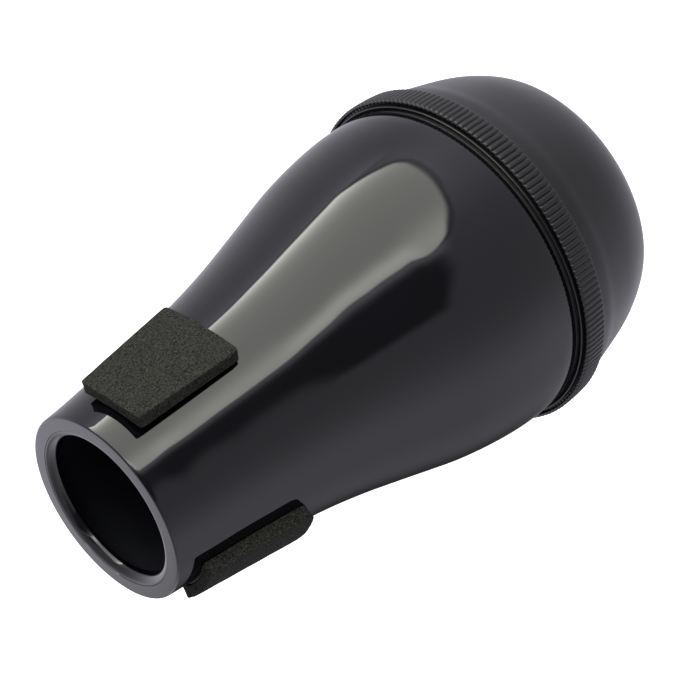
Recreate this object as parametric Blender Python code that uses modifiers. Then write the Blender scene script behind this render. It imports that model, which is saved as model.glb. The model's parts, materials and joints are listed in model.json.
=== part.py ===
"""Trombone straight mute: a hollow flared plastic shell with an open neck, three
foam pads on the neck, and a reeded screw cap that closes the wide end.

Axis on Z, neck up.  The cap's flat end stands on z = 0 and the origin is the
centre of that flat.  All dimensions are in metres.
"""
import math

import bmesh
import bpy
from mathutils import Matrix, Vector

MM = 0.001

# ---------------------------------------------------------------- dimensions
SEG = 72                      # facets round the axis

TOTAL_H = 177.4 * MM          # flat end of the cap to the flat rim of the neck
WALL = 2.2 * MM               # moulded wall of the shell
CAP_WALL = 2.3 * MM           # moulded wall of the cap

# outside of the shell: height above the cap's flat end, radius
SHELL_STATIONS = [(176.7, 27.9), (170.4, 28.45), (164.0, 29.2), (154.5, 30.3),
                  (144.9, 31.6), (134.0, 33.2), (123.3, 35.0), (111.4, 37.6),
                  (99.5, 40.8), (87.6, 44.15), (81.6, 45.8), (75.7, 47.1),
                  (69.7, 48.15), (63.8, 48.95), (58.3, 49.4), (53.0, 49.5),
                  (50.0, 49.35)]
RIM_FACE_IN = 23.7 * MM       # flat rim face, inner and outer radius
RIM_FACE_OUT = 27.25 * MM
RIM_ROUND = 0.65 * MM         # rounding of the rim's outer corner
LIP_R = 21.0 * MM             # inward lip that closes the mouth in a little
LIP_STEP = 0.1 * MM           # its top, a small step below the rim face
LIP_ROUND = 2.6 * MM          # its top rolls over into the hole with this radius
LIP_UNDER_Z = 174.0 * MM
BORE_Z = 172.8 * MM           # below the lip the bore opens to the full width

SHOULDER_Z = 47.6 * MM        # end face of the shell, where the cap meets it
SHOULDER_R = 48.9 * MM
SPIGOT_R = 45.9 * MM          # plug that enters the cap
SPIGOT_BORE = 43.7 * MM
SPIGOT_END = 36.0 * MM

# screw thread, right hand, one start
PITCH = 4.0 * MM
THREAD_TURNS = 1.125
THREAD_ROOT_HALF = 0.95 * MM
THREAD_TIP_HALF = 0.45 * MM
SPIGOT_THREAD_R = 46.9 * MM
SPIGOT_THREAD_Z = 37.5 * MM
CAP_THREAD_R = 46.3 * MM
CAP_THREAD_Z = SPIGOT_THREAD_Z + PITCH / 2

# cap
CAP_LIP_Z = 46.9 * MM
CAP_LIP_R = 50.15 * MM
CAP_LIP_CHAMFER = 0.7 * MM    # inner side of the lip
CAP_REBATE_R = 48.9 * MM
CAP_REBATE_Z = 45.4 * MM
CAP_SKIRT_BORE = 47.3 * MM
CAP_SKIRT_FOOT = 35.4 * MM
REED_COUNT = 178
REED_CREST = 52.0 * MM        # at the band's upper edge
REED_CREST_FOOT = 51.6 * MM   # the band narrows a little towards the dome
REED_DEPTH = 0.55 * MM
REED_TOP = 46.2 * MM
REED_FOOT = 38.5 * MM
BAND_EDGE_R = 51.0 * MM       # a groove parts the band's upper edge from the lip
GROOVE_R = 50.9 * MM
GROOVE_Z = 45.0 * MM
# outside of the dome below the reeded band: height, radius
DOME_STATIONS = [(38.0, 49.95), (34.0, 49.35), (30.8, 48.45), (27.4, 47.6),
                 (24.5, 46.85), (21.0, 45.9), (17.5, 44.75), (14.0, 43.3),
                 (11.0, 41.8), (8.5, 40.3), (6.5, 38.7), (4.8, 36.8), (3.0, 34.3),
                 (1.5, 32.2), (0.4, 30.4)]
DOME_FLAT_R = 27.0 * MM

# sealing ring in the cap's rebate; its bore clears the shell's thread
SEAL_IN = 47.2 * MM
SEAL_OUT = 48.6 * MM
SEAL_Z0 = 45.7 * MM
SEAL_Z1 = 47.3 * MM

# foam pads on the neck, all of one size and wider towards the flare
FILM_THICK = 0.20 * MM
FILM_LIFT = 0.15 * MM
FILM_MARGIN = 1.0 * MM
FILM_HALF = 5.0 * MM
PAD_HALVES = (11.3 * MM, 14.2 * MM)     # half width at the front and back edge
# centre angle in degrees; in millimetres: height of the front and back edges, outer
# surface over the neck there, radius the outer surface is bent to there, and the
# foam's thickness in the middle of the front, in the middle of the back, and along
# the sides.  The first pad lies nearly flat on the neck and its long sides stand
# free; the other two are pressed round it, which thins the middle.
PADS = [
    (-42.5, (169.6, 137.0), (4.05, 3.50), (900.0, 90.0), (3.40, 2.95, 3.95)),
    (85.6, (170.0, 136.6), (3.85, 3.80), (36.0, 40.0), (3.20, 3.15, 3.80)),
    (201.6, (170.0, 136.6), (3.85, 3.80), (36.0, 40.0), (3.20, 3.15, 3.80)),
]


# ------------------------------------------------------------------- helpers
def clear_scene():
    for ob in list(bpy.data.objects):
        bpy.data.objects.remove(ob, do_unlink=True)
    for col in list(bpy.data.collections):
        bpy.data.collections.remove(col)


def new_collection(name):
    col = bpy.data.collections.new(name)
    bpy.context.scene.collection.children.link(col)
    return col


def material(name, color, roughness, metallic=0.0):
    mat = bpy.data.materials.new(name)
    mat.use_nodes = True
    bsdf = mat.node_tree.nodes["Principled BSDF"]
    bsdf.inputs["Base Color"].default_value = (*color, 1.0)
    bsdf.inputs["Roughness"].default_value = roughness
    bsdf.inputs["Metallic"].default_value = metallic
    mat.diffuse_color = (*color, 1.0)
    return mat


def smooth_curve(stations):
    """Monotone cubic through (height, radius) stations given in millimetres."""
    pts = sorted(stations)
    xs = [p[0] for p in pts]
    ys = [p[1] for p in pts]
    n = len(xs)
    d = [(ys[i + 1] - ys[i]) / (xs[i + 1] - xs[i]) for i in range(n - 1)]
    m = [d[0]] + [0.0] * (n - 2) + [d[-1]]
    for i in range(1, n - 1):
        if d[i - 1] * d[i] > 0:
            h0, h1 = xs[i] - xs[i - 1], xs[i + 1] - xs[i]
            w0, w1 = 2 * h1 + h0, h1 + 2 * h0
            m[i] = (w0 + w1) / (w0 / d[i - 1] + w1 / d[i])

    def radius(z):
        x = z / MM
        x = min(max(x, xs[0]), xs[-1])
        i = max(k for k in range(n - 1) if xs[k] <= x)
        h = xs[i + 1] - xs[i]
        t = (x - xs[i]) / h
        a = (1 + 2 * t) * (1 - t) ** 2 * ys[i] + t * (1 - t) ** 2 * h * m[i]
        b = t * t * (3 - 2 * t) * ys[i + 1] + t * t * (t - 1) * h * m[i + 1]
        return (a + b) * MM
    return radius


shell_r = smooth_curve(SHELL_STATIONS)


def mesh_object(name, bm, col, mat=None):
    me = bpy.data.meshes.new(name)
    bm.to_mesh(me)
    bm.free()
    ob = bpy.data.objects.new(name, me)
    col.objects.link(ob)
    if mat:
        me.materials.append(mat)
    return ob


def turned(name, profile, col, mat, closed=True):
    """Profile of (radius, height) at +X, turned round Z with a Screw modifier."""
    bm = bmesh.new()
    verts = [bm.verts.new((r, 0.0, z)) for r, z in profile]
    for a, b in zip(verts, verts[1:]):
        bm.edges.new((a, b))
    if closed:
        bm.edges.new((verts[-1], verts[0]))
    ob = mesh_object(name, bm, col, mat)
    scr = ob.modifiers.new("turn", 'SCREW')
    scr.axis = 'Z'
    scr.steps = SEG
    scr.render_steps = SEG
    scr.use_merge_vertices = True
    scr.merge_threshold = 0.00001
    scr.use_smooth_shade = True
    return ob


def union(target, tool, name):
    mod = target.modifiers.new(name, 'BOOLEAN')
    mod.operation = 'UNION'
    mod.solver = 'EXACT'
    mod.object = tool
    tool.hide_render = True
    tool.display_type = 'WIRE'


def thread_ridge(name, wall_r, tip_r, z_start, col):
    """Helical ridge: a trapezoid swept up a right-hand helix, blunt at both ends.
    Its root is sunk 0.6 mm into the wall that carries it, and it starts half a facet
    on, so that its edges cross the wall's facets in their middle."""
    out = 1.0 if tip_r > wall_r else -1.0
    root_r = wall_r - out * 0.6 * MM
    grow = THREAD_ROOT_HALF + 0.3 * MM
    section = [(root_r, -grow), (root_r, grow), (tip_r, THREAD_TIP_HALF),
               (tip_r, -THREAD_TIP_HALF)]
    bm = bmesh.new()
    ring = [bm.verts.new((r, 0.0, z_start + dz)) for r, dz in section]
    edges = [bm.edges.new((ring[i], ring[(i + 1) % 4])) for i in range(4)]
    steps = round(THREAD_TURNS * SEG)
    rise = PITCH * THREAD_TURNS
    bmesh.ops.spin(bm, geom=ring + edges, cent=(0, 0, 0), axis=(0, 0, 1),
                   dvec=(0, 0, rise / steps), angle=THREAD_TURNS * 2 * math.pi,
                   steps=steps, use_merge=False, use_duplicate=False)
    bmesh.ops.rotate(bm, verts=bm.verts[:], cent=(0, 0, 0),
                     matrix=Matrix.Rotation(math.pi / SEG, 3, 'Z'))
    bmesh.ops.holes_fill(bm, edges=[e for e in bm.edges if e.is_boundary], sides=4)
    bmesh.ops.recalc_face_normals(bm, faces=bm.faces)
    return mesh_object(name, bm, col)


def reeded_ring(name, col):
    """Ring with a crest and a root for each reed, sunk into the cap's skirt.  Its top
    is stepped, which leaves a groove beside the lip."""
    n = REED_COUNT * 2
    inner = CAP_LIP_R - 0.6 * MM
    # radius, height, and whether the reeds shape this row
    rows = [(inner, REED_FOOT, False), (REED_CREST_FOOT, REED_FOOT, True),
            (REED_CREST, REED_TOP, True), (BAND_EDGE_R, REED_TOP, False),
            (GROOVE_R, GROOVE_Z, False), (inner, GROOVE_Z, False)]
    bm = bmesh.new()
    rings = []
    for r, z, reeded in rows:
        ring = []
        for k in range(n):
            a = 2 * math.pi * k / n
            rr = r - REED_DEPTH if reeded and k % 2 else r
            ring.append(bm.verts.new((rr * math.cos(a), rr * math.sin(a), z)))
        rings.append(ring)
    for a, b in zip(rings, rings[1:] + rings[:1]):
        for k in range(n):
            bm.faces.new((a[k], a[(k + 1) % n], b[(k + 1) % n], b[k]))
    bmesh.ops.recalc_face_normals(bm, faces=bm.faces)
    return mesh_object(name, bm, col)


def sheet(name, theta_deg, z_ends, halves, height, thickness, col, mat):
    """Closed sheet on the neck.  Its outer surface is laid out by its half width and by
    its height(part of the way from front to back, height on the neck, offset across)
    over the axis, and the thickness(part of the way, part of the half width) goes
    inwards from there."""
    a = math.radians(theta_deg)
    out = Vector((-math.sin(a), -math.cos(a), 0))
    across = Vector((-math.cos(a), math.sin(a), 0))

    def outer(s, u):
        z = z_ends[0] + (z_ends[1] - z_ends[0]) * s
        return out * height(s, z, u) + across * u + Vector((0, 0, z))

    def inward(s, u):
        n = (outer(s + 0.02, u) - outer(s - 0.02, u)).cross(
            outer(s, u + 0.5 * MM) - outer(s, u - 0.5 * MM)).normalized()
        return -n if n.dot(out) > 0 else n

    bm = bmesh.new()
    bmesh.ops.create_grid(bm, x_segments=8, y_segments=5, size=0.5)
    got = bmesh.ops.extrude_face_region(bm, geom=bm.faces[:])
    top = [g for g in got["geom"] if isinstance(g, bmesh.types.BMVert)]
    bmesh.ops.translate(bm, verts=top, vec=(0, 0, 1))
    for v in bm.verts:
        s, x, level = 0.5 - v.co.y, 2 * v.co.x, v.co.z
        u = x * (halves[0] + (halves[1] - halves[0]) * s)
        v.co = outer(s, u) + inward(s, u) * thickness(s, x) * (1 - level)
    bmesh.ops.recalc_face_normals(bm, faces=bm.faces)
    if bm.calc_volume(signed=True) < 0:
        bmesh.ops.reverse_faces(bm, faces=bm.faces[:])
    return mesh_object(name, bm, col, mat)


def pad_height(z_ends, lifts, bends):
    """Outer surface of a foam pad: straight from front to back, bent across."""
    ends = [shell_r(z) + lift for z, lift in zip(z_ends, lifts)]

    def height(s, z, u):
        bend = 1 / bends[0] + (1 / bends[1] - 1 / bends[0]) * s
        return max(ends[0] + (ends[1] - ends[0]) * s, shell_r(z) + lifts[1]) - bend * u * u / 2
    return height


def pad_thickness(front, back, side):
    def thickness(s, x):
        middle = front + (back - front) * s
        return middle + (side - middle) * x * x
    return thickness


def film_height(s, z, u):
    """Outer surface of the film, which follows the neck."""
    return math.sqrt((shell_r(z) + FILM_LIFT + FILM_THICK) ** 2 - u * u)


# --------------------------------------------------------------------- parts
def shell_profile():
    pts = []
    # outer side, from the rim's flat face down to the shoulder
    pts.append((RIM_FACE_IN, TOTAL_H))
    pts.append((RIM_FACE_OUT, TOTAL_H))
    cz = TOTAL_H - RIM_ROUND
    corner_r = RIM_FACE_OUT
    for k in range(1, 4):
        a = math.radians(90 - 30 * k)
        pts.append((corner_r + RIM_ROUND * math.cos(a), cz + RIM_ROUND * math.sin(a)))
    z = 173.0 * MM
    while z > 52.0 * MM:
        pts.append((shell_r(z), z))
        z -= (9.0 if z > 125 * MM else 6.0) * MM
    pts.append((shell_r(50.0 * MM), 50.0 * MM))
    pts.append((SHOULDER_R + 0.2 * MM, 48.1 * MM))
    pts.append((SHOULDER_R - 0.3 * MM, SHOULDER_Z))
    # shoulder face, then the spigot
    pts.append((SPIGOT_R, SHOULDER_Z))
    pts.append((SPIGOT_R, SPIGOT_END + 0.5 * MM))
    pts.append((SPIGOT_R - 0.5 * MM, SPIGOT_END))
    # inner side, back up to the mouth
    pts.append((SPIGOT_BORE, SPIGOT_END))
    pts.append((SPIGOT_BORE, 49.0 * MM))
    z = 54.0 * MM
    while z < 170.0 * MM:
        pts.append((shell_r(z) - WALL, z))
        z += 10.5 * MM
    pts.append((shell_r(BORE_Z) - WALL, BORE_Z))
    # underside of the lip, its rolled top, and the step up to the rim face
    pts.append((LIP_R + 4.2 * MM, LIP_UNDER_Z - 0.2 * MM))
    pts.append((LIP_R + 0.4 * MM, LIP_UNDER_Z))
    pts.append((LIP_R, LIP_UNDER_Z + 0.4 * MM))
    roll_z = TOTAL_H - LIP_STEP - LIP_ROUND
    for k in range(5):
        a = math.radians(10 + 18 * k)
        pts.append((LIP_R + LIP_ROUND * (1 - math.cos(a)), roll_z + LIP_ROUND * math.sin(a)))
    return pts


def inner_side(points, wall):
    """Offset of a run of (radius, height) points towards the axis."""
    out = []
    for i in range(1, len(points) - 1):
        dr = points[i + 1][0] - points[i - 1][0]
        dz = points[i + 1][1] - points[i - 1][1]
        k = wall / math.hypot(dr, dz)
        out.append((points[i][0] + dz * k, points[i][1] - dr * k))
    return out


def cap_profile():
    pts = []
    dome = [(r * MM, z * MM) for z, r in DOME_STATIONS]
    # outer side, from the lip down to the flat end
    pts.append((CAP_LIP_R - 0.35 * MM, CAP_LIP_Z))
    pts.append((CAP_LIP_R, CAP_LIP_Z - 0.35 * MM))
    pts += dome
    pts.append((DOME_FLAT_R, 0.0))
    pts.append((0.0, 0.0))
    # inner side, back up
    pts.append((0.0, CAP_WALL))
    pts.append((DOME_FLAT_R, CAP_WALL))
    pts += [p for p in reversed(inner_side(dome, CAP_WALL)) if p[1] > CAP_WALL + 0.4 * MM]
    pts.append((CAP_SKIRT_BORE, CAP_SKIRT_FOOT + 1.0 * MM))
    pts.append((CAP_SKIRT_BORE, CAP_REBATE_Z))
    pts.append((CAP_REBATE_R, CAP_REBATE_Z))
    pts.append((CAP_REBATE_R, CAP_LIP_Z - CAP_LIP_CHAMFER))
    return pts


def build():
    clear_scene()
    parts = new_collection("trombone_straight_mute")
    tools = new_collection("tools")

    gloss = material("gloss_black_plastic", (0.012, 0.012, 0.014), 0.12)
    satin = material("satin_black_plastic", (0.018, 0.018, 0.020), 0.38)
    rubber = material("black_rubber", (0.02, 0.02, 0.02), 0.75)

    shell = turned("body_shell", shell_profile(), parts, gloss)
    ridge = thread_ridge("spigot_thread", SPIGOT_R, SPIGOT_THREAD_R, SPIGOT_THREAD_Z, tools)
    union(shell, ridge, "spigot_thread")

    cap = turned("end_cap", cap_profile(), parts, satin, closed=False)
    last = len(cap.data.vertices) - 1
    bm = bmesh.new()
    bm.from_mesh(cap.data)
    bm.verts.ensure_lookup_table()
    # the lip's chamfer joins the rebate to the lip; the two ends on the axis stay open
    axis_top = [v for v in bm.verts if v.co.x == 0.0]
    bm.edges.new((bm.verts[last], bm.verts[0]))
    for e in [e for e in bm.edges if e.verts[0] in axis_top and e.verts[1] in axis_top]:
        bm.edges.remove(e)
    bm.to_mesh(cap.data)
    bm.free()
    union(cap, reeded_ring("reeds", tools), "reeds")
    union(cap, thread_ridge("cap_thread", CAP_SKIRT_BORE, CAP_THREAD_R, CAP_THREAD_Z, tools),
          "cap_thread")

    c = 0.25 * MM
    turned("sealing_ring", [(SEAL_OUT - c, SEAL_Z1), (SEAL_OUT, SEAL_Z1 - c),
                            (SEAL_OUT, SEAL_Z0 + c), (SEAL_OUT - c, SEAL_Z0),
                            (SEAL_IN + c, SEAL_Z0), (SEAL_IN, SEAL_Z0 + c),
                            (SEAL_IN, SEAL_Z1 - c), (SEAL_IN + c, SEAL_Z1)],
           parts, rubber)

    for i, (theta, z_ends, lifts, bends, thick) in enumerate(PADS, 1):
        z_ends = [z * MM for z in z_ends]
        foam = material("foam_%d" % i, (0.022, 0.024, 0.021), 0.95)
        film = material("adhesive_film_%d" % i, (0.03, 0.03, 0.03), 0.55)
        sheet("foam_pad_%d" % i, theta, z_ends, PAD_HALVES,
              pad_height(z_ends, [v * MM for v in lifts], [b * MM for b in bends]),
              pad_thickness(*[v * MM for v in thick]), parts, foam)
        sheet("adhesive_film_%d" % i, theta,
              [z_ends[0] - FILM_MARGIN, z_ends[1] + FILM_MARGIN], [FILM_HALF] * 2,
              film_height, lambda s, x: FILM_THICK, parts, film)


build()
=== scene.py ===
"""Looks of the trombone straight mute: fine turned surfaces, reeded cap, foam pads."""
import json
import math
import random

import bmesh
import bpy
from mathutils import Matrix, Vector

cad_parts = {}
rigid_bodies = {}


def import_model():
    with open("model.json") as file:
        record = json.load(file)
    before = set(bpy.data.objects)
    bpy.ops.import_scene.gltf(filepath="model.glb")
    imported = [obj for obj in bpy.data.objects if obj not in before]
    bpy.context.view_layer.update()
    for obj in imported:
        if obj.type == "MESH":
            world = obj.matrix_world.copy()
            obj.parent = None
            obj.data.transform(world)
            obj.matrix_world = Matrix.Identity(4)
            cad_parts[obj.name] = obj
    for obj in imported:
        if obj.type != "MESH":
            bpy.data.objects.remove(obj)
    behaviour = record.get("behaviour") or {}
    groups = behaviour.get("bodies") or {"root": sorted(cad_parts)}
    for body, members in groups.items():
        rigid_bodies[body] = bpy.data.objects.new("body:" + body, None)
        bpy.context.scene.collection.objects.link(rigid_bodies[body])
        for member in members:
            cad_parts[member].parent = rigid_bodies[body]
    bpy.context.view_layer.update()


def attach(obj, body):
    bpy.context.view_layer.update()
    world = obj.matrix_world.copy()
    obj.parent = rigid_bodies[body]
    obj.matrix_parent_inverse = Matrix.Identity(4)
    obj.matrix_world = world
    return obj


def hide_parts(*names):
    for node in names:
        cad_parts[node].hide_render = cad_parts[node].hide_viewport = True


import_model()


MM = 0.001


# ------------------------------------------------------------------ helpers
def smooth_curve(stations):
    """Monotone cubic through (height, radius) stations in millimetres."""
    pts = sorted(stations)
    xs = [p[0] for p in pts]
    ys = [p[1] for p in pts]
    n = len(xs)
    d = [(ys[i + 1] - ys[i]) / (xs[i + 1] - xs[i]) for i in range(n - 1)]
    m = [d[0]] + [0.0] * (n - 2) + [d[-1]]
    for i in range(1, n - 1):
        if d[i - 1] * d[i] > 0:
            h0, h1 = xs[i] - xs[i - 1], xs[i + 1] - xs[i]
            w0, w1 = 2 * h1 + h0, h1 + 2 * h0
            m[i] = (w0 + w1) / (w0 / d[i - 1] + w1 / d[i])

    def radius(x):
        x = min(max(x, xs[0]), xs[-1])
        i = max(k for k in range(n - 1) if xs[k] <= x)
        h = xs[i + 1] - xs[i]
        t = (x - xs[i]) / h
        a = (1 + 2 * t) * (1 - t) ** 2 * ys[i] + t * (1 - t) ** 2 * h * m[i]
        b = t * t * (3 - 2 * t) * ys[i + 1] + t * t * (t - 1) * h * m[i + 1]
        return a + b
    return radius


shell_r = smooth_curve([(176.7, 27.9), (170.4, 28.45), (164.0, 29.2), (154.5, 30.3),
                        (144.9, 31.6), (134.0, 33.2), (123.3, 35.0), (111.4, 37.6),
                        (99.5, 40.8), (87.6, 44.15), (81.6, 45.8), (75.7, 47.1),
                        (69.7, 48.15), (63.8, 48.95), (58.3, 49.4), (53.0, 49.5),
                        (50.0, 49.35)])
DOME = [(38.0, 49.95), (34.0, 49.35), (30.8, 48.45), (27.4, 47.6), (24.5, 46.85),
        (21.0, 45.9), (17.5, 44.75), (14.0, 43.3), (11.0, 41.8), (8.5, 40.3), (6.5, 38.7),
        (4.8, 36.8), (3.0, 34.3), (1.5, 32.2), (0.4, 30.4)]
dome_r = smooth_curve(DOME)


def arc(cx, cz, r, a0, a1, n):
    """Points (radius, height) of an arc, angles in degrees, ends included."""
    out = []
    for k in range(n + 1):
        a = math.radians(a0 + (a1 - a0) * k / n)
        out.append((cx + r * math.cos(a), cz + r * math.sin(a)))
    return out


def add_object(name, me, *mats):
    ob = bpy.data.objects.new(name, me)
    bpy.context.scene.collection.objects.link(ob)
    me.materials.clear()
    for mat in mats:
        me.materials.append(mat)
    return ob


def finish_mesh(name, bm, sharp, *mats):
    bmesh.ops.recalc_face_normals(bm, faces=bm.faces)
    me = bpy.data.meshes.new(name)
    bm.to_mesh(me)
    bm.free()
    me.shade_smooth()
    me.set_sharp_from_angle(angle=math.radians(sharp))
    return add_object(name, me, *mats)


def lathe(name, profile, cols, mats, radius_at=None, sharp=40, inner_from=None):
    """Turned mesh of a closed (radius, height) profile in millimetres.
    radius_at(angle, r, z) may vary the radius round the axis.  Rows of faces from
    inner_from on take the second material."""
    bm = bmesh.new()
    n = len(profile)
    rings = []
    for r, z in profile:
        if r < 1e-6:
            rings.append([bm.verts.new((0, 0, z * MM))] * cols)
            continue
        ring = []
        for c in range(cols):
            a = 2 * math.pi * c / cols
            rr = radius_at(a, r, z) if radius_at else r
            ring.append(bm.verts.new((rr * math.cos(a) * MM, rr * math.sin(a) * MM, z * MM)))
        rings.append(ring)
    for i in range(n):
        a, b = rings[i], rings[(i + 1) % n]
        if a[0] is a[1] and b[0] is b[1]:
            continue
        for c in range(cols):
            d = (c + 1) % cols
            corner = []
            for v in (a[c], b[c], b[d], a[d]):
                if v not in corner:
                    corner.append(v)
            f = bm.faces.new(corner)
            if inner_from is not None and i >= inner_from:
                f.material_index = 1
    return finish_mesh(name, bm, sharp, *mats)


def helix(name, wall_r, tip_r, z_start, turns, pitch, mat, per_turn=144):
    """Screw thread ridge with rounded flanks and run-out ends, its root in the wall."""
    out = 1.0 if tip_r > wall_r else -1.0
    root = wall_r - out * 0.5
    section = [(root, -1.2), (wall_r, -0.98)]
    for k in range(7):
        a = math.radians(-75 + 25 * k)
        section.append((tip_r - out * 0.35 * (1 - math.cos(a)), 0.52 * math.sin(a)))
    section += [(wall_r, 0.98), (root, 1.2)]
    bm = bmesh.new()
    steps = round(turns * per_turn)
    rows = []
    for s in range(steps + 1):
        a = 2 * math.pi * s / per_turn + math.pi / 72
        fade = min(1.0, min(s, steps - s) / 9.0)
        row = []
        for r, dz in section:
            rr = r if (r - wall_r) * out <= 0 else wall_r + (r - wall_r) * (0.25 + 0.75 * fade)
            row.append(bm.verts.new((rr * math.cos(a) * MM, rr * math.sin(a) * MM,
                                     (z_start + pitch * s / per_turn + dz) * MM)))
        rows.append(row)
    m = len(section)
    for a, b in zip(rows, rows[1:]):
        for k in range(m):
            bm.faces.new((a[k], a[(k + 1) % m], b[(k + 1) % m], b[k]))
    bm.faces.new(rows[0])
    bm.faces.new(rows[-1])
    return finish_mesh(name, bm, 60, mat)


# ---------------------------------------------------------------- materials
def base(name, color, rough):
    mat = bpy.data.materials.new(name)
    mat.use_nodes = True
    nt = mat.node_tree
    p = nt.nodes["Principled BSDF"]
    p.inputs["Base Color"].default_value = (*color, 1)
    p.inputs["Roughness"].default_value = rough
    return mat, nt, p


def noise(nt, scale, detail=4.0, rough=0.5):
    co = nt.nodes.new("ShaderNodeTexCoord")
    n = nt.nodes.new("ShaderNodeTexNoise")
    n.inputs["Scale"].default_value = scale
    n.inputs["Detail"].default_value = detail
    n.inputs["Roughness"].default_value = rough
    nt.links.new(co.outputs["Object"], n.inputs["Vector"])
    return n


def spread(nt, src, lo, hi, a=0.3, b=0.7):
    m = nt.nodes.new("ShaderNodeMapRange")
    m.inputs["From Min"].default_value = a
    m.inputs["From Max"].default_value = b
    m.inputs["To Min"].default_value = lo
    m.inputs["To Max"].default_value = hi
    nt.links.new(src, m.inputs["Value"])
    return m.outputs["Result"]


def tint(nt, src, c0, c1, a=0.35, b=0.65):
    r = nt.nodes.new("ShaderNodeValToRGB")
    r.color_ramp.elements[0].position = a
    r.color_ramp.elements[1].position = b
    r.color_ramp.elements[0].color = (*c0, 1)
    r.color_ramp.elements[1].color = (*c1, 1)
    nt.links.new(src, r.inputs["Fac"])
    return r.outputs["Color"]


def bump(nt, src, p, strength, dist, prev=None):
    b = nt.nodes.new("ShaderNodeBump")
    b.inputs["Strength"].default_value = strength
    b.inputs["Distance"].default_value = dist
    nt.links.new(src, b.inputs["Height"])
    if prev:
        nt.links.new(prev.outputs["Normal"], b.inputs["Normal"])
    nt.links.new(b.outputs["Normal"], p.inputs["Normal"])
    return b


def gloss_plastic():
    """Polished injection moulding: nearly a mirror, with a faint long waviness."""
    mat, nt, p = base("gloss_black_plastic", (0.003, 0.003, 0.004), 0.09)
    big = noise(nt, 22, 3)
    fine = noise(nt, 900, 3)
    nt.links.new(tint(nt, big.outputs["Fac"], (0.0016, 0.0017, 0.0026), (0.0024, 0.0025, 0.0038)),
                 p.inputs["Base Color"])
    nt.links.new(spread(nt, big.outputs["Fac"], 0.035, 0.055), p.inputs["Roughness"])
    b = bump(nt, big.outputs["Fac"], p, 0.10, 0.0003)
    bump(nt, fine.outputs["Fac"], p, 0.02, 0.00004, b)
    return mat


def inner_plastic_painted_light():
    """Inside of the shell, left as it came from the core of the mould; its colour is painted lighter than the
    outer plastic's, as painted light for the dim light in the bore.
    """
    mat, nt, p = base("inner_black_plastic_painted_light", (0.004, 0.004, 0.005), 0.5)
    big = noise(nt, 60, 3)
    fine = noise(nt, 1200, 2)
    # painted light: the inside's colour is several times lighter than the outer black plastic's, making up for
    # the dim light inside the bore
    nt.links.new(tint(nt, big.outputs["Fac"], (0.0085, 0.0092, 0.0135), (0.0115, 0.0122, 0.0170)),
                 p.inputs["Base Color"])
    nt.links.new(spread(nt, big.outputs["Fac"], 0.5, 0.6), p.inputs["Roughness"])
    p.inputs["Specular IOR Level"].default_value = 0.25
    bump(nt, fine.outputs["Fac"], p, 0.1, 0.00008)
    return mat


def satin_plastic():
    """Cap: fine spark-eroded mould texture, so reflections are wide and soft."""
    mat, nt, p = base("satin_black_plastic", (0.003, 0.003, 0.004), 0.42)
    big = noise(nt, 30, 3)
    fine = noise(nt, 1600, 2)
    nt.links.new(tint(nt, big.outputs["Fac"], (0.0018, 0.0018, 0.0026), (0.0028, 0.0028, 0.0038)),
                 p.inputs["Base Color"])
    nt.links.new(spread(nt, big.outputs["Fac"], 0.36, 0.43), p.inputs["Roughness"])
    bump(nt, fine.outputs["Fac"], p, 0.12, 0.00008)
    return mat


def foam():
    """Closed-cell foam: open cut cells that catch the light over pits, with painted shade darkening the pits to
    near black.
    """
    mat, nt, p = base("pad_foam", (0.03, 0.031, 0.027), 0.95)
    co = nt.nodes.new("ShaderNodeTexCoord")
    cell = nt.nodes.new("ShaderNodeTexVoronoi")
    cell.inputs["Scale"].default_value = 1700
    nt.links.new(co.outputs["Object"], cell.inputs["Vector"])
    grain_and_pit_shade = noise(nt, 2100, 3, 0.65)
    # painted shade: the noise that bumps the cells also paints the low pits near black, while the raised cells
    # keep the foam's grey
    nt.links.new(tint(nt, grain_and_pit_shade.outputs["Fac"], (0.0030, 0.0031, 0.0026), (0.0435, 0.0432, 0.0375),
                      0.36, 0.66), p.inputs["Base Color"])
    p.inputs["Specular IOR Level"].default_value = 0.12
    b = bump(nt, cell.outputs["Distance"], p, 0.7, 0.0003)
    bump(nt, grain_and_pit_shade.outputs["Fac"], p, 0.6, 0.00025, b)
    return mat


def film():
    mat, nt, p = base("adhesive_film", (0.02, 0.02, 0.02), 0.5)
    n = noise(nt, 400, 2)
    nt.links.new(spread(nt, n.outputs["Fac"], 0.4, 0.6), p.inputs["Roughness"])
    return mat


def rubber():
    mat, nt, p = base("black_rubber", (0.012, 0.012, 0.012), 0.7)
    n = noise(nt, 700, 3)
    nt.links.new(spread(nt, n.outputs["Fac"], 0.6, 0.8), p.inputs["Roughness"])
    bump(nt, n.outputs["Fac"], p, 0.1, 0.0001)
    return mat


GLOSS, SATIN, FOAM, FILM, RUBBER = (gloss_plastic(), satin_plastic(), foam(), film(), rubber())
INNER_PAINTED_LIGHT = inner_plastic_painted_light()


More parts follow.
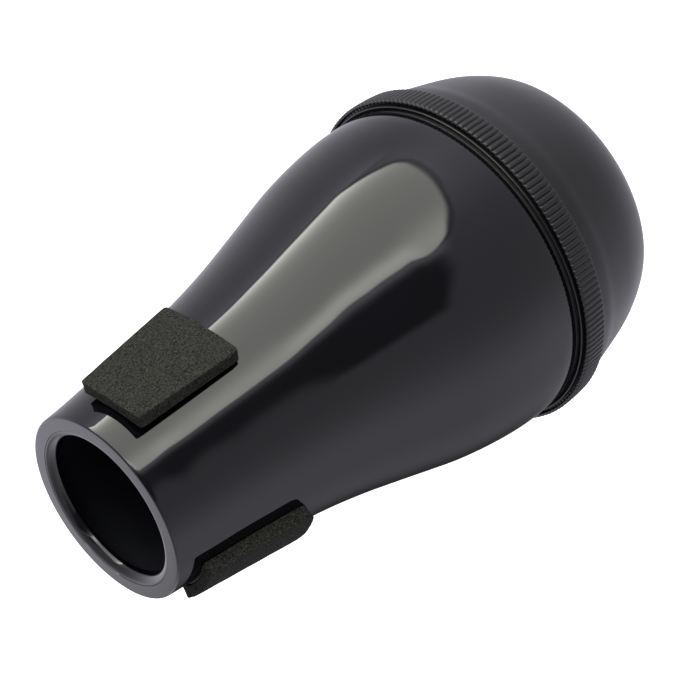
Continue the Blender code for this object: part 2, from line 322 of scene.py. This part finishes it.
# ----------------------------------------------------------------- the shell
def shell_profile():
    """Closed profile, and the index from which it is the inside of the shell."""
    pts = [(23.75, 177.4), (25.5, 177.4), (27.2, 177.4)]
    pts += arc(27.25, 176.75, 0.65, 84, 6, 8)
    z = 175.9
    while z > 50.5:
        pts.append((shell_r(z), z))
        z -= 1.6
    pts += [(shell_r(50.0), 50.0), (49.25, 49.0), (49.1, 48.2), (48.9, 47.8), (48.6, 47.6)]
    pts += [(45.9, 47.6), (45.9, 47.3), (45.9, 36.5), (45.4, 36.0), (43.7, 36.0)]
    inside = len(pts) - 1
    pts += [(43.7, 49.0)]
    z = 54.0
    while z < 171.0:
        pts.append((shell_r(z) - 2.2, z))
        z += 3.0
    pts += [(shell_r(172.8) - 2.2, 172.8), (25.2, 173.8), (21.4, 174.0)]
    lip = len(pts) - 1
    pts += arc(21.3, 174.3, 0.3, 260, 190, 3)
    # the lip rolls over into the hole, and a fine step parts its top from the rim face
    pts += arc(23.6, 174.7, 2.6, 176, 93, 18)
    pts += [(23.62, 177.29), (23.68, 177.2), (23.72, 177.3)]
    return pts, inside, lip


def paint_inside(ob, r_max, z_top):
    """Give the faces that look inwards below the lip the second material."""
    for f in ob.data.polygons:
        c, n = f.center / MM, f.normal
        if c.z < z_top and math.hypot(c.x, c.y) < shell_r(c.z) - 1.0 and c.x * n.x + c.y * n.y < 0:
            f.material_index = 1


profile, inside, lip = shell_profile()
shell = lathe("fine_shell", profile, 288, (GLOSS, INNER_PAINTED_LIGHT))
paint_inside(shell, 50.0, 174.2)
spigot_thread = helix("spigot_thread", 45.9, 46.9, 37.5, 1.125, 4.0, GLOSS)
for ob in (shell, spigot_thread):
    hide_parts("body_shell")
    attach(ob, "shell")


# ------------------------------------------------------------------- the cap
REEDS = 178


def inner_side(points, wall):
    out = []
    for i in range(1, len(points) - 1):
        dr = points[i + 1][0] - points[i - 1][0]
        dz = points[i + 1][1] - points[i - 1][1]
        k = wall / math.hypot(dr, dz)
        out.append((points[i][0] + dz * k, points[i][1] - dr * k))
    return out


def cap_profile():
    pts = [(49.8, 46.9)]
    pts += arc(49.85, 46.6, 0.3, 75, 0, 4)
    pts += [(50.15, 45.5), (50.15, 42.0), (50.1, 39.0)]
    dome = []
    z = 38.0
    while z > 0.7:
        dome.append((dome_r(z), z))
        z -= 1.0 if z > 9 else 0.5
    pts += dome
    pts += [(30.4, 0.4), (29.4, 0.2), (28.2, 0.05), (27.0, 0.0), (13.5, 0.0), (0.0, 0.0),
            (0.0, 2.3), (27.0, 2.3)]
    pts += [p for p in reversed(inner_side(dome, 2.3)) if p[1] > 2.7]
    pts += [(47.3, 36.4), (47.3, 45.4), (48.9, 45.4), (48.9, 46.1), (49.0, 46.3),
            (49.55, 46.78)]
    return pts


def band_profile():
    """Reeded ring; its foot and inner side are sunk in the cap's wall, and a narrow
    groove parts its upper face from the cap's lip."""
    pts = [(49.7, 44.9), (50.85, 44.9), (50.95, 45.1), (50.97, 45.9), (51.1, 46.13)]
    pts += arc(51.4, 45.6, 0.6, 95, 0, 8)
    pts += [(52.0, 44.6), (51.98, 43.5), (51.9, 42.0), (51.8, 40.5), (51.68, 39.6)]
    pts += arc(51.15, 39.2, 0.5, 0, -75, 5)
    pts += [(50.6, 38.56), (50.1, 38.45), (49.7, 38.45)]
    return pts


def reed(a, r, z):
    """Wide flat crests with a narrow rounded groove between two of them, which runs
    out at the band's foot."""
    if r < 50.9:
        return r
    t = (a / (2 * math.pi) * REEDS) % 1.0
    groove = math.exp(-((t - 0.5) / 0.14) ** 2)
    run_out = min(1.0, max(0.0, (z - 38.7) / 1.2))
    return r - 0.42 * groove * min(1.0, (r - 50.6) / 1.0) * (0.25 + 0.75 * run_out)


cap = lathe("fine_cap", cap_profile(), 288, (SATIN,), sharp=50)
band = lathe("reeded_band", band_profile(), REEDS * 10, (SATIN,), radius_at=reed, sharp=65)
cap_thread = helix("cap_thread", 47.3, 46.3, 39.5, 1.125, 4.0, SATIN)
for ob in (cap, band, cap_thread):
    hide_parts("end_cap")
    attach(ob, "cap")


# ------------------------------------------------------------------ the pads
HALVES = (11.3, 14.2)


def pad(name, node, theta, z_ends, lifts, bends, thick, corners, seats, seed):
    """Foam sheet cut as a trapezoid, with rounded plan corners and crisp cut edges.
    Its outer surface is straight from front to back and bent across, and the foam's
    thickness (middle of the front, middle of the back, long sides) goes inwards from
    there.  corners are the plan radii front low, front high, back low, back high side.
    Beside the film a pad that seats is pressed down onto the neck."""
    nu, nv = 80, 96
    rnd = random.Random(seed)
    ph = [rnd.uniform(0, 6.28) for _ in range(8)]
    ca = math.radians(theta)
    out = Vector((-math.sin(ca), -math.cos(ca), 0))
    across = Vector((-math.cos(ca), math.sin(ca), 0))
    ends = [shell_r(z) + lift for z, lift in zip(z_ends, lifts)]
    length = z_ends[0] - z_ends[1]

    def outer(s, u):
        """Outer surface at part s of the way back and u mm across."""
        z = z_ends[0] - length * s
        bend = 1 / bends[0] + (1 / bends[1] - 1 / bends[0]) * s
        h = max(ends[0] + (ends[1] - ends[0]) * s, shell_r(z) + lifts[1]) - bend * u * u / 2
        return out * h + across * u + Vector((0, 0, z))

    def normal(s, u):
        a = outer(s + 0.02, u) - outer(s - 0.02, u)
        b = outer(s, u + 0.5) - outer(s, u - 0.5)
        n = a.cross(b).normalized()
        return n if n.dot(out) > 0 else -n

    def half(s):
        return HALVES[0] + (HALVES[1] - HALVES[0]) * s

    def thickness(s, u):
        middle = thick[0] + (thick[1] - thick[0]) * s
        t = middle + (thick[2] - middle) * (u / half(s)) ** 2
        if seats and abs(u) > 5.4:
            n = normal(s, u)
            p = outer(s, u) - n * t
            spare = (math.hypot(p.x, p.y) - shell_r(p.z) - 0.12) / max(0.5, n.dot(
                Vector((p.x, p.y, 0)).normalized()))
            t += max(0.0, spare) * min(1.0, (abs(u) - 5.4) / 1.5)
        return t

    def plan(i, j):
        """Grid place to (s, u), with the grid's corners pulled in to an arc."""
        s, x = j / nv, (i / nu - 0.5) * 2
        u, y = x * half(s), s * length
        rc = corners[(2 if s > 0.5 else 0) + (1 if x > 0 else 0)]
        if rc > 0:
            ax = abs(u) - (half(s) - rc)
            ay = (rc - y) if s < 0.5 else (y - (length - rc))
            if ax > 0 and ay > 0:
                k = max(ax, ay) / math.hypot(ax, ay)
                u = math.copysign(half(s) - rc + ax * k, u)
                y = (rc - ay * k) if s < 0.5 else (length - rc + ay * k)
        return y / length, u

    # grid lines crowd towards the edges, so that the edges can be rounded
    def crowd(k, n):
        t = k / n
        return t if 0.06 < t < 0.94 else (t / 0.06) ** 1.6 * 0.06 if t <= 0.06 else \
            1 - ((1 - t) / 0.06) ** 1.6 * 0.06

    verts, faces = [], []
    e = 0.22
    for side in (0, 1):
        for j in range(nv + 1):
            for i in range(nu + 1):
                gi, gj = crowd(i, nu) * nu, crowd(j, nv) * nv
                s, u = plan(gi, gj)
                edge = min(half(s) * (1 - abs(gi / nu - 0.5) * 2), min(gj, nv - gj) / nv * length)
                drop = 0.0 if edge > e else e - math.sqrt(max(0.0, e * e - (e - edge) ** 2))
                x, y = u, s * length
                wave = 0.02 * (math.sin(x * 0.9 + ph[0]) + math.sin(y * 0.7 + ph[1])
                               + math.sin(x * 2.3 + y * 1.1 + ph[2]))
                depth = 0.06 - wave + drop if side else thickness(s, u) - drop * 0.3
                p = outer(s, u) - normal(s, u) * depth
                verts.append(tuple(p * MM))
    w = nu + 1
    off = w * (nv + 1)
    rim = [(i, 0) for i in range(nu)] + [(nu, j) for j in range(nv)] + \
          [(i, nv) for i in range(nu, 0, -1)] + [(0, j) for j in range(nv, 0, -1)]
    for j in range(nv):
        for i in range(nu):
            q = (j * w + i, j * w + i + 1, (j + 1) * w + i + 1, (j + 1) * w + i)
            faces.append(q[::-1])
            faces.append(tuple(v + off for v in q))
    # cut sides, in steps with a slight hollow and the knife's unevenness
    low = [j * w + i for i, j in rim]
    levels = [low]
    centre = Vector((sum(verts[k][0] for k in low), sum(verts[k][1] for k in low),
                     sum(verts[k][2] for k in low))) / len(low)
    for f, deep in ((0.06, 0.2), (0.35, 1.0), (0.65, 1.0), (0.93, 0.15)):
        row = []
        for n, k in enumerate(low):
            a, b = Vector(verts[k]), Vector(verts[k + off])
            p = a.lerp(b, f)
            inward = (centre - p)
            inward -= (b - a).normalized() * inward.dot((b - a).normalized())
            dent = 0.08 + 0.03 * math.sin(n * 0.45 + ph[3]) + 0.02 * math.sin(n * 1.1 + ph[4])
            verts.append(tuple(p + inward.normalized() * dent * deep * MM))
            row.append(len(verts) - 1)
        levels.append(row)
    levels.append([k + off for k in low])
    m = len(low)
    for a, b in zip(levels, levels[1:]):
        for n in range(m):
            faces.append((a[n], a[(n + 1) % m], b[(n + 1) % m], b[n]))
    me = bpy.data.meshes.new(name)
    me.from_pydata(verts, [], faces)
    bm = bmesh.new()
    bm.from_mesh(me)
    bmesh.ops.recalc_face_normals(bm, faces=bm.faces)
    bm.to_mesh(me)
    bm.free()
    me.shade_smooth()
    me.set_sharp_from_angle(angle=math.radians(50))
    ob = add_object(name, me, FOAM)
    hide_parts(node)
    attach(ob, "shell")
    return ob


PADS = [
    (-42.5, (169.6, 137.0), (4.05, 3.50), (900.0, 90.0), (3.40, 2.95, 3.95),
     (0.8, 0.8, 1.2, 1.2), False),
    (85.6, (170.0, 136.6), (3.85, 3.80), (36.0, 40.0), (3.20, 3.15, 3.80),
     (1.0, 3.0, 2.8, 1.6), True),
    (201.6, (170.0, 136.6), (3.85, 3.80), (36.0, 40.0), (3.20, 3.15, 3.80),
     (1.2, 1.6, 1.6, 1.4), True),
]
for k, args in enumerate(PADS, 1):
    pad("fine_pad_%d" % k, "foam_pad_%d" % k, *args, 40 + k)

for k in (1, 2, 3):
    node = bpy.data.objects["adhesive_film_%d" % k]
    for s in node.material_slots:
        s.material = FILM
for s in bpy.data.objects["sealing_ring"].material_slots:
    s.material = RUBBER


# ------------------------------------------------------------ stage and light
me = bpy.data.meshes.new("floor")
me.from_pydata([(-8, -8, -1.2), (8, -8, -1.2), (8, 8, -1.2), (-8, 8, -1.2)], [], [(0, 1, 2, 3)])
fmat, fnt, fp = base("floor_pale", (0.9, 0.9, 0.9), 0.9)
fp.inputs["Emission Color"].default_value = (1, 1, 1, 1)
fp.inputs["Emission Strength"].default_value = 0.7
floor = add_object("floor", me, fmat)


class Sums:
    """Small helper that writes arithmetic as shader nodes."""

    def __init__(self, nt):
        self.nt = nt

    def __call__(self, op, *args, clamp=False):
        n = self.nt.nodes.new("ShaderNodeMath")
        n.operation = op
        n.use_clamp = clamp
        for k, a in enumerate(args):
            if isinstance(a, (int, float)):
                n.inputs[k].default_value = a
            else:
                self.nt.links.new(a, n.inputs[k])
        return n.outputs[0]

    def step(self, v, lo, hi):
        """Smooth step from 0 at lo to 1 at hi."""
        n = self.nt.nodes.new("ShaderNodeMapRange")
        n.interpolation_type = 'SMOOTHSTEP'
        n.inputs["From Min"].default_value = min(lo, hi)
        n.inputs["From Max"].default_value = max(lo, hi)
        n.inputs["To Min"].default_value = 0.0 if lo < hi else 1.0
        n.inputs["To Max"].default_value = 1.0 if lo < hi else 0.0
        self.nt.links.new(v, n.inputs["Value"])
        return n.outputs["Result"]

    def bell(self, v, centre, width):
        d = self('DIVIDE', self('SUBTRACT', v, centre), width)
        return self('EXPONENT', self('MULTIPLY', self('MULTIPLY', d, d), -1.0))

    def turn(self, az, centre):
        """Azimuth measured from a centre, from -180 to 180 degrees."""
        return self('WRAP', self('SUBTRACT', az, centre), 180.0, -180.0)


def light_tent(mat):
    """Emission of the inside of a white studio tent.  A large softbox with a bright
    tube along each long edge stands in front on the right, a black flag beside it, and
    the tent is in shade behind on the left.  Angles are in degrees as seen from the
    tent's centre: azimuth from +X towards +Y, and elevation."""
    nt = mat.node_tree
    nt.nodes.clear()
    s = Sums(nt)
    co = nt.nodes.new("ShaderNodeTexCoord")
    unit = nt.nodes.new("ShaderNodeVectorMath")
    unit.operation = 'NORMALIZE'
    nt.links.new(co.outputs["Object"], unit.inputs[0])
    sep = nt.nodes.new("ShaderNodeSeparateXYZ")
    nt.links.new(unit.outputs[0], sep.inputs[0])
    deg = 180.0 / math.pi
    az = s('MULTIPLY', s('ARCTAN2', sep.outputs["Y"], sep.outputs["X"]), deg)
    el = s('MULTIPLY', s('ARCSINE', sep.outputs["Z"]), deg)

    # the tent's cloth: lit below and beside the softbox and on the left, shaded behind
    wide = s('SUBTRACT', 34.0, s('MULTIPLY', s.step(az, -42, -20), 11.0))
    fall = s('EXPONENT', s('DIVIDE', s('MINIMUM', s('ADD', el, 27.0), 0.0), 22.0))
    below = s('MULTIPLY', s('MULTIPLY', s.bell(az, -31, wide), fall), 0.68)
    fill = s('MULTIPLY', s('MULTIPLY', s.bell(s.turn(az, -166), 0, 25), s.step(el, -58, -30)), 0.38)
    shade = s('MULTIPLY', s('MULTIPLY', s.bell(az, 112, 32), s.step(az, 60, 96)), 0.50)
    shade = s('MULTIPLY', s('MULTIPLY', shade, s.step(el, 10, -8)), s.step(el, -52, -30))
    table = s('MULTIPLY', s('MULTIPLY', s.bell(s.turn(az, 90), 0, 75), s.step(el, -34, -52)), 0.75)
    side = s('MULTIPLY', s('MULTIPLY', s.step(az, -75, -50), s.step(az, 90, 70)), 0.06)
    rim = s('MULTIPLY', s('MULTIPLY', s.bell(s.turn(az, 90), 0, 70), s.bell(el, 24, 22)), 1.05)
    rim = s('MULTIPLY', rim, s('SUBTRACT', 1.0, s('MULTIPLY', s.bell(s.turn(az, 102), 0, 10), 0.8)))
    amb = s('ADD', s('SUBTRACT', s('ADD', s('ADD', 0.545, below), fill), shade),
            s('ADD', s('ADD', rim, table), side))

    # softbox: signed distances outside its right, left and lower edge
    right = s('SUBTRACT', az, -7.8)
    left = s('SUBTRACT', s('ADD', -78.5, s('MULTIPLY', s.step(el, -10, 6), 9.0)), az)
    q = s('DIVIDE', s('ADD', az, 28.0), 48.0)
    low = s('SUBTRACT', s('ADD', -25.2, s('MULTIPLY', s('MULTIPLY', q, q), 9.5)), el)
    high = s('SUBTRACT', el, 40.0)

    def corner(a, b, r):
        """Distance outside two edges that meet in a rounded corner."""
        pa, pb = (s('MAXIMUM', s('ADD', v, r), 0.0) for v in (a, b))
        far = s('SQRT', s('ADD', s('MULTIPLY', pa, pa), s('MULTIPLY', pb, pb)))
        return s('ADD', s('SUBTRACT', far, r), s('MINIMUM', s('MAXIMUM', s('ADD', a, r), s('ADD', b, r)), 0.0))

    outside = s('MAXIMUM', s('MAXIMUM', corner(right, low, 16.5), corner(left, low, 5.0)),
                corner(high, right, 8.0))
    mask = s.step(outside, 0.9, -0.9)
    spill = s('MULTIPLY', s('MULTIPLY', s.bell(left, 0, 4.2), s.step(el, -17, -11)), 1.0)
    foot = s('EXPONENT', s('DIVIDE', s('MINIMUM', low, 0.0), 3.5))
    inside = s('MINIMUM', right, 0.0)
    tube_r = s('ADD', s('MULTIPLY', s('EXPONENT', s('DIVIDE', inside, 4.0)), 9.0),
               s('MULTIPLY', s('EXPONENT', s('DIVIDE', inside, 14.0)), 1.2))
    tube_r = s('MULTIPLY', tube_r, s('ADD', 1.0, s('MULTIPLY', foot, 0.35)))
    high_up = s.step(el, -11, -3)
    tube_l = s('MULTIPLY', s.bell(left, -5.0, s('SUBTRACT', 12.0, s('MULTIPLY', high_up, 5.0))),
               s('ADD', 2.0, s('MULTIPLY', high_up, 1.4)))
    panel = s('ADD', s('ADD', s('ADD', 2.85, tube_r), tube_l), s('MULTIPLY', foot, 0.1))
    panel = s('MULTIPLY', panel, mask)

    # beside its right edge a thin dark frame, then the cloth it lights
    beside = s('MULTIPLY', s('EXPONENT', s('DIVIDE', s('MULTIPLY', s('MAXIMUM', right, 0.0), -1.0), 7.0)), 0.62)
    beside = s('MULTIPLY', beside, s('MULTIPLY', s.step(right, -1, 1), s.step(el, -29, -18)))
    frame_line = s('SUBTRACT', 1.0, s('MULTIPLY', s.bell(outside, 1.3, 0.8), 0.4))
    amb = s('MULTIPLY', s('ADD', amb, beside), frame_line)
    # the flag hangs from above the camera down to the softbox's level
    foot_f = s('ADD', -12.0, s('MULTIPLY', s.step(az, -92, -112), 6.0))
    drop = s('SUBTRACT', el, foot_f)
    flag = s('MULTIPLY', s('MULTIPLY', s.step(az, -116, -109), s.step(az, -74, -84)),
             s('MULTIPLY', s.step(drop, -3.5, 3.5), s.step(el, 62, 46)))
    hood = s('MULTIPLY', s.bell(s.turn(az, -80), 0, 75), s.step(el, 26, 48))
    amb = s('MULTIPLY', amb, s('SUBTRACT', 1.0, s('MULTIPLY', s('MAXIMUM', flag, hood), 0.78)))
    amb = s('ADD', amb, spill)
    amb = s('MULTIPLY', amb, s('SUBTRACT', 1.0, mask))

    def coloured(value, rgb):
        n = nt.nodes.new("ShaderNodeVectorMath")
        n.operation = 'SCALE'
        n.inputs[0].default_value = rgb
        nt.links.new(value, n.inputs["Scale"])
        return n.outputs[0]

    add = nt.nodes.new("ShaderNodeVectorMath")
    add.operation = 'ADD'
    nt.links.new(coloured(amb, (0.97, 0.97, 1.07)), add.inputs[0])
    nt.links.new(coloured(panel, (1.02, 1.01, 0.95)), add.inputs[1])
    glow = nt.nodes.new("ShaderNodeEmission")
    nt.links.new(add.outputs[0], glow.inputs["Color"])
    shell_out = nt.nodes.new("ShaderNodeOutputMaterial")
    nt.links.new(glow.outputs[0], shell_out.inputs["Surface"])


tent_mat = bpy.data.materials.new("tent_light")
tent_mat.use_nodes = True
light_tent(tent_mat)
bm = bmesh.new()
bmesh.ops.create_icosphere(bm, subdivisions=6, radius=0.65)
tent_me = bpy.data.meshes.new("tent")
bm.to_mesh(tent_me)
bm.free()
tent = add_object("tent", tent_me, tent_mat)
tent.location = (0, 0, 0.110)
tent.visible_camera = False           # the camera looks in through the cloth

world = bpy.data.worlds.new("studio")
bpy.context.scene.world = world
bpy.context.scene.view_settings.view_transform = 'Standard'
world.use_nodes = True
world.node_tree.nodes["Background"].inputs["Color"].default_value = (1, 1, 1, 1)
world.node_tree.nodes["Background"].inputs["Strength"].default_value = 1.0

# camera at the photograph's angle
cam = bpy.data.cameras.new("camera")
cam.sensor_width = 36.0
cam.lens = 2600.0 / 680.0 * 36.0
cam_ob = bpy.data.objects.new("camera", cam)
bpy.context.scene.collection.objects.link(cam_ob)
right = Vector((-0.581701, -0.411792, -0.701464)).normalized()
fwd = Vector((0.000384, 0.862243, -0.506495)).normalized()
up = right.cross(fwd).normalized()
right = fwd.cross(up).normalized()
m = Matrix((right, up, -fwd)).transposed().to_4x4()
m.translation = Vector((0.0, -0.61925, 0.45407))
cam_ob.matrix_world = m
bpy.context.scene.camera = cam_ob
